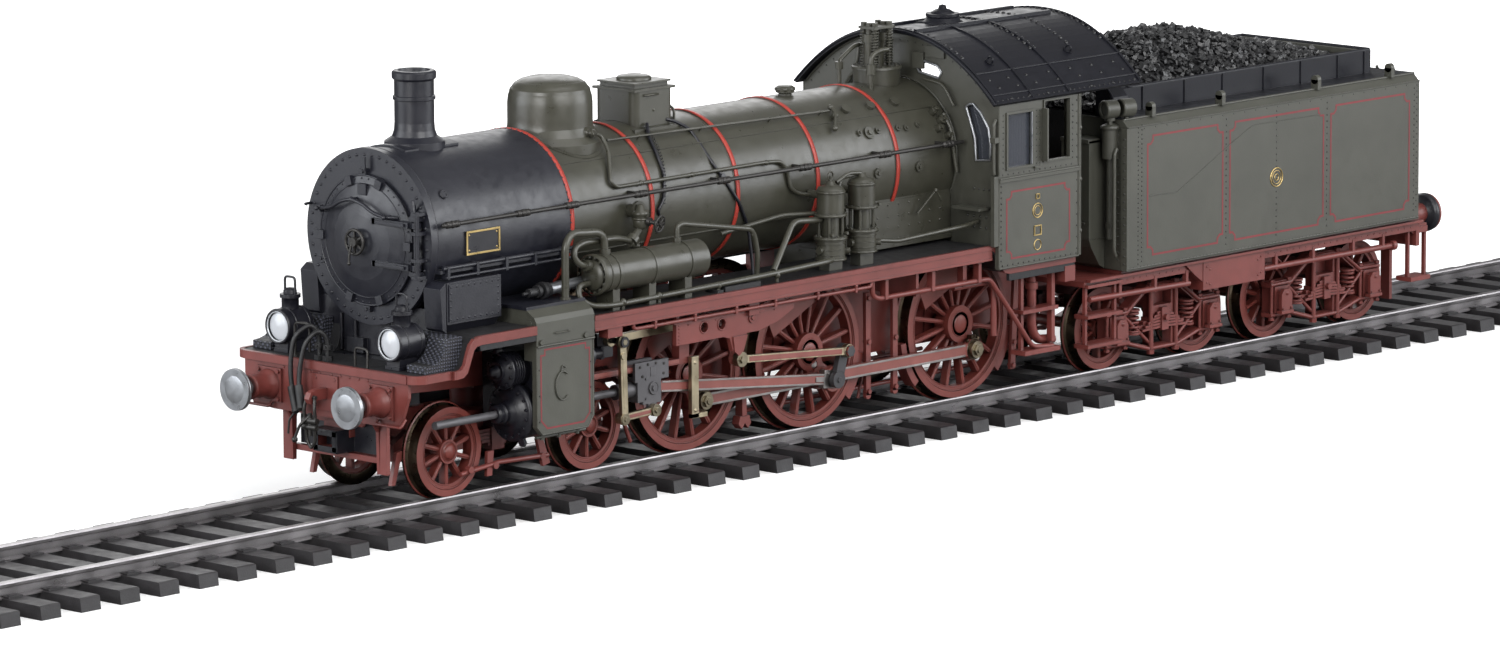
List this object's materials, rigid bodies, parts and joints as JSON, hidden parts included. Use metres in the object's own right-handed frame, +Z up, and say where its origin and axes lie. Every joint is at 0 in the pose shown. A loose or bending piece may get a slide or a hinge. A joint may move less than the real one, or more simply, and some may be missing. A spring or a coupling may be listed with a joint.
{
  "type": "model tender locomotive",
  "caption": "Gauge 45 mm model of a 4-6-0 tender steam locomotive with outside valve gear, swivelling bogies, opening smokebox door and bogie tender.",
  "frame": {"origin": "rail-head level on the track centreline, under the middle coupled axle", "axes": "+X to the tender along the track, +Y to the right-hand side, +Z up"},
  "size_m": [0.582, 0.0992, 0.1454],
  "materials": {
    "frame_red": "satin",
    "wheel_red": "satin",
    "rod_red": "satin",
    "board_black": "matte",
    "cylinder_black": "satin",
    "smokebox_black": "matte",
    "roof_black": "satin",
    "lamp_black": "satin",
    "casing_green": "satin",
    "boiler_green": "satin",
    "cab_green": "satin",
    "fittings_brass": "satin",
    "rail_steel": "satin",
    "buffer_steel": "turned",
    "motion_steel": "satin",
    "motion_nickel": "satin",
    "window_glass": "clear",
    "coal_black": "rough"
  },
  "bodies": {
    "engine": {"frame": "frame_red", "running_board": "board_black", "cylinders": "cylinder_black", "cylinder_casings": "casing_green", "boiler": "boiler_green", "smokebox": "smokebox_black", "chimney": "smokebox_black", "steam_dome": "boiler_green", "sand_dome": "boiler_green", "safety_valves": "fittings_brass", "handrails": "rail_steel", "feed_pumps": "boiler_green", "cab": "cab_green", "cab_roof": "roof_black", "cab_glass": "window_glass", "front_lamps": "lamp_black", "slide_bars": "frame_red", "cab_steps": "frame_red"},
    "smokebox_door": {"smokebox_door": "smokebox_black"},
    "door_wheel": {"door_wheel": "rail_steel"},
    "buffer_front_l": {"buffer_front_l": "buffer_steel"},
    "buffer_front_r": {"buffer_front_r": "buffer_steel"},
    "bogie_frame": {"bogie_frame": "frame_red"},
    "bogie_wheels_1": {"bogie_wheels_1": "wheel_red"},
    "bogie_wheels_2": {"bogie_wheels_2": "wheel_red"},
    "drivers_1": {"drivers_1": "wheel_red"},
    "drivers_2": {"drivers_2": "wheel_red"},
    "drivers_3": {"drivers_3": "wheel_red"},
    "side_rod_l": {"side_rod_l": "rod_red"},
    "main_rod_l": {"main_rod_l": "rod_red"},
    "crosshead_l": {"crosshead_l": "motion_steel"},
    "crank_disc_l": {"crank_disc_l": "motion_steel"},
    "neck_ring_l": {"neck_ring_l": "motion_steel"},
    "neck_bead_l": {"neck_bead_l": "motion_steel"},
    "eccentric_rod_l": {"eccentric_rod_l": "motion_nickel"},
    "expansion_link_l": {"expansion_link_l": "motion_steel"},
    "combination_lever_l": {"combination_lever_l": "motion_nickel"},
    "union_link_l": {"union_link_l": "motion_nickel"},
    "radius_rod_l": {"radius_rod_l": "motion_nickel"},
    "side_rod_r": {"side_rod_r": "rod_red"},
    "main_rod_r": {"main_rod_r": "rod_red"},
    "crosshead_r": {"crosshead_r": "motion_steel"},
    "crank_disc_r": {"crank_disc_r": "motion_steel"},
    "neck_ring_r": {"neck_ring_r": "motion_steel"},
    "neck_bead_r": {"neck_bead_r": "motion_steel"},
    "eccentric_rod_r": {"eccentric_rod_r": "motion_nickel"},
    "expansion_link_r": {"expansion_link_r": "motion_steel"},
    "combination_lever_r": {"combination_lever_r": "motion_nickel"},
    "union_link_r": {"union_link_r": "motion_nickel"},
    "radius_rod_r": {"radius_rod_r": "motion_nickel"},
    "tender": {"tender_tank": "cab_green", "tender_frame": "frame_red", "coal_load": "coal_black"},
    "tender_bogie_1": {"tender_bogie_1": "frame_red"},
    "tender_wheels_1": {"tender_wheels_1": "wheel_red"},
    "tender_wheels_2": {"tender_wheels_2": "wheel_red"},
    "tender_bogie_2": {"tender_bogie_2": "frame_red"},
    "tender_wheels_3": {"tender_wheels_3": "wheel_red"},
    "tender_wheels_4": {"tender_wheels_4": "wheel_red"},
    "water_lid": {"water_lid": "board_black"}
  },
  "joints": [
    {"name": "drive_spin", "type": "hinge", "parent": "engine", "child": "drivers_2", "pos_m": [0, 0, 0.02734], "axis": [0, -1, 0], "continuous": true},
    {"name": "drivers_1_spin", "type": "hinge", "parent": "engine", "child": "drivers_1", "pos_m": [-0.0625, 0, 0.02734], "axis": [0, -1, 0], "continuous": true},
    {"name": "drivers_3_spin", "type": "hinge", "parent": "engine", "child": "drivers_3", "pos_m": [0.08063, 0, 0.02734], "axis": [0, -1, 0], "continuous": true},
    {"name": "side_rod_l_pin", "type": "hinge", "parent": "drivers_2", "child": "side_rod_l", "pos_m": [0.00456, -0.0285, 0.01777], "axis": [0, -1, 0], "continuous": true},
    {"name": "crank_disc_l_spin", "type": "hinge", "parent": "drivers_2", "child": "crank_disc_l", "pos_m": [0.00228, -0.0263, 0.02256], "axis": [0, -1, 0], "continuous": true},
    {"name": "crosshead_l_travel", "type": "hinge", "parent": "crank_disc_l", "child": "crosshead_l", "pos_m": [0.00456, -0.0332, 0.02734], "axis": [0, -1, 0], "continuous": true},
    {"name": "neck_ring_l_turn", "type": "hinge", "parent": "crosshead_l", "child": "neck_ring_l", "pos_m": [-0.0907, -0.0332, 0.02734], "axis": [1, -0.006, -0.0072], "continuous": true},
    {"name": "neck_bead_l_turn", "type": "hinge", "parent": "neck_ring_l", "child": "neck_bead_l", "pos_m": [-0.0907, -0.0332, 0.02734], "axis": [0.9982, 0.0179, -0.0572], "continuous": true},
    {"name": "main_rod_l_swing", "type": "hinge", "parent": "neck_bead_l", "child": "main_rod_l", "pos_m": [-0.0907, -0.0332, 0.02734], "axis": [0.9942, -0.006, -0.1071], "continuous": true},
    {"name": "eccentric_rod_l_pin", "type": "hinge", "parent": "drivers_2", "child": "eccentric_rod_l", "pos_m": [0.00756, -0.0383, 0.02809], "axis": [0, -1, 0], "continuous": true},
    {"name": "expansion_link_l_swing", "type": "hinge", "parent": "engine", "child": "expansion_link_l", "pos_m": [-0.0475, -0.036, 0.0476], "axis": [0, -1, 0], "range_deg": [-45, 5]},
    {"name": "combination_lever_l_swing", "type": "hinge", "parent": "engine", "child": "combination_lever_l", "pos_m": [-0.1092, -0.0395, 0.0463], "axis": [0, -1, 0], "range_deg": [-30, 10]},
    {"name": "union_link_l_pivot", "type": "hinge", "parent": "crosshead_l", "child": "union_link_l", "pos_m": [-0.0913, -0.0376, 0.01974], "axis": [0, -1, 0], "range_deg": [-6, 6]},
    {"name": "radius_rod_l_lift", "type": "hinge", "parent": "engine", "child": "radius_rod_l", "pos_m": [-0.1092, -0.0336, 0.0463], "axis": [0, -1, 0], "range_deg": [-3, 1.5]},
    {"name": "side_rod_r_pin", "type": "hinge", "parent": "drivers_2", "child": "side_rod_r", "pos_m": [0.00957, 0.0285, 0.0319], "axis": [0, -1, 0], "continuous": true},
    {"name": "crank_disc_r_spin", "type": "hinge", "parent": "drivers_2", "child": "crank_disc_r", "pos_m": [0.00478, 0.0263, 0.02962], "axis": [0, -1, 0], "continuous": true},
    {"name": "crosshead_r_travel", "type": "hinge", "parent": "crank_disc_r", "child": "crosshead_r", "pos_m": [0.00957, 0.0332, 0.02734], "axis": [0, -1, 0], "continuous": true},
    {"name": "neck_ring_r_turn", "type": "hinge", "parent": "crosshead_r", "child": "neck_ring_r", "pos_m": [-0.08607, 0.0332, 0.02734], "axis": [1, -0.0032, -0.0009], "continuous": true},
    {"name": "neck_bead_r_turn", "type": "hinge", "parent": "neck_ring_r", "child": "neck_bead_r", "pos_m": [-0.08607, 0.0332, 0.02734], "axis": [0.9986, 0.0468, 0.023], "continuous": true},
    {"name": "main_rod_r_swing", "type": "hinge", "parent": "neck_bead_r", "child": "main_rod_r", "pos_m": [-0.08607, 0.0332, 0.02734], "axis": [0.9989, -0.0032, 0.0468], "continuous": true},
    {"name": "eccentric_rod_r_pin", "type": "hinge", "parent": "drivers_2", "child": "eccentric_rod_r", "pos_m": [-0.00075, 0.0383, 0.0349], "axis": [0, -1, 0], "continuous": true},
    {"name": "expansion_link_r_swing", "type": "hinge", "parent": "engine", "child": "expansion_link_r", "pos_m": [-0.0475, 0.036, 0.0476], "axis": [0, -1, 0], "range_deg": [-20, 30]},
    {"name": "combination_lever_r_swing", "type": "hinge", "parent": "engine", "child": "combination_lever_r", "pos_m": [-0.1092, 0.0395, 0.0463], "axis": [0, -1, 0], "range_deg": [-38, 2]},
    {"name": "union_link_r_pivot", "type": "hinge", "parent": "crosshead_r", "child": "union_link_r", "pos_m": [-0.08667, 0.0376, 0.01974], "axis": [0, -1, 0], "range_deg": [-6, 6]},
    {"name": "radius_rod_r_lift", "type": "hinge", "parent": "engine", "child": "radius_rod_r", "pos_m": [-0.1092, 0.0336, 0.0463], "axis": [0, -1, 0], "range_deg": [-3, 1.5]},
    {"name": "smokebox_door_hinge", "type": "hinge", "parent": "engine", "child": "smokebox_door", "pos_m": [-0.194, -0.025, 0.088], "axis": [0, 0, 1], "range_deg": [0, 60]},
    {"name": "door_wheel_turn", "type": "hinge", "parent": "smokebox_door", "child": "door_wheel", "pos_m": [-0.197, 0, 0.0877], "axis": [1, 0, 0], "continuous": true},
    {"name": "buffer_front_l_slide", "type": "slide", "parent": "engine", "child": "buffer_front_l", "axis": [1, 0, 0], "range_m": [0, 0.003]},
    {"name": "buffer_front_r_slide", "type": "slide", "parent": "engine", "child": "buffer_front_r", "axis": [1, 0, 0], "range_m": [0, 0.003]},
    {"name": "bogie_swivel", "type": "hinge", "parent": "engine", "child": "bogie_frame", "pos_m": [-0.14593, 0, 0.03], "axis": [0, 0, 1], "range_deg": [-2.5, 2.5]},
    {"name": "bogie_wheels_1_spin", "type": "hinge", "parent": "bogie_frame", "child": "bogie_wheels_1", "pos_m": [-0.1803, 0, 0.01562], "axis": [0, -1, 0], "continuous": true},
    {"name": "bogie_wheels_2_spin", "type": "hinge", "parent": "bogie_frame", "child": "bogie_wheels_2", "pos_m": [-0.11156, 0, 0.01562], "axis": [0, -1, 0], "continuous": true},
    {"name": "drawbar_pivot", "type": "hinge", "parent": "engine", "child": "tender", "pos_m": [0.116, 0, 0.034], "axis": [0, 0, 1], "range_deg": [-3.5, 3.5]},
    {"name": "tender_bogie_1_swivel", "type": "hinge", "parent": "tender", "child": "tender_bogie_1", "pos_m": [0.18735, 0, 0.036], "axis": [0, 0, 1], "range_deg": [-4, 4]},
    {"name": "tender_wheels_1_spin", "type": "hinge", "parent": "tender_bogie_1", "child": "tender_wheels_1", "pos_m": [0.1608, 0, 0.01562], "axis": [0, -1, 0], "continuous": true},
    {"name": "tender_wheels_2_spin", "type": "hinge", "parent": "tender_bogie_1", "child": "tender_wheels_2", "pos_m": [0.2139, 0, 0.01562], "axis": [0, -1, 0], "continuous": true},
    {"name": "tender_bogie_2_swivel", "type": "hinge", "parent": "tender", "child": "tender_bogie_2", "pos_m": [0.28265, 0, 0.036], "axis": [0, 0, 1], "range_deg": [-4, 4]},
    {"name": "tender_wheels_3_spin", "type": "hinge", "parent": "tender_bogie_2", "child": "tender_wheels_3", "pos_m": [0.2561, 0, 0.01562], "axis": [0, -1, 0], "continuous": true},
    {"name": "tender_wheels_4_spin", "type": "hinge", "parent": "tender_bogie_2", "child": "tender_wheels_4", "pos_m": [0.3092, 0, 0.01562], "axis": [0, -1, 0], "continuous": true},
    {"name": "water_lid_hinge", "type": "hinge", "parent": "tender", "child": "water_lid", "pos_m": [0.321, 0, 0.0975], "axis": [0, 1, 0], "range_deg": [0, 80]}
  ],
  "couplings": [
    {"joint": "drivers_1_spin", "follows": "drive_spin", "ratio": 1},
    {"joint": "drivers_3_spin", "follows": "drive_spin", "ratio": 1},
    {"joint": "side_rod_l_pin", "follows": "drive_spin", "ratio": -1},
    {"joint": "crank_disc_l_spin", "follows": "drive_spin", "ratio": -2},
    {"joint": "crosshead_l_travel", "follows": "drive_spin", "ratio": 1},
    {"joint": "neck_ring_l_turn", "follows": "drive_spin", "ratio": 1},
    {"joint": "neck_bead_l_turn", "follows": "drive_spin", "ratio": -2},
    {"joint": "main_rod_l_swing", "follows": "drive_spin", "ratio": 1},
    {"joint": "eccentric_rod_l_pin", "follows": "drive_spin", "ratio": -1},
    {"joint": "side_rod_r_pin", "follows": "drive_spin", "ratio": -1},
    {"joint": "crank_disc_r_spin", "follows": "drive_spin", "ratio": -2},
    {"joint": "crosshead_r_travel", "follows": "drive_spin", "ratio": 1},
    {"joint": "neck_ring_r_turn", "follows": "drive_spin", "ratio": 1},
    {"joint": "neck_bead_r_turn", "follows": "drive_spin", "ratio": -2},
    {"joint": "main_rod_r_swing", "follows": "drive_spin", "ratio": 1},
    {"joint": "eccentric_rod_r_pin", "follows": "drive_spin", "ratio": -1}
  ]
}
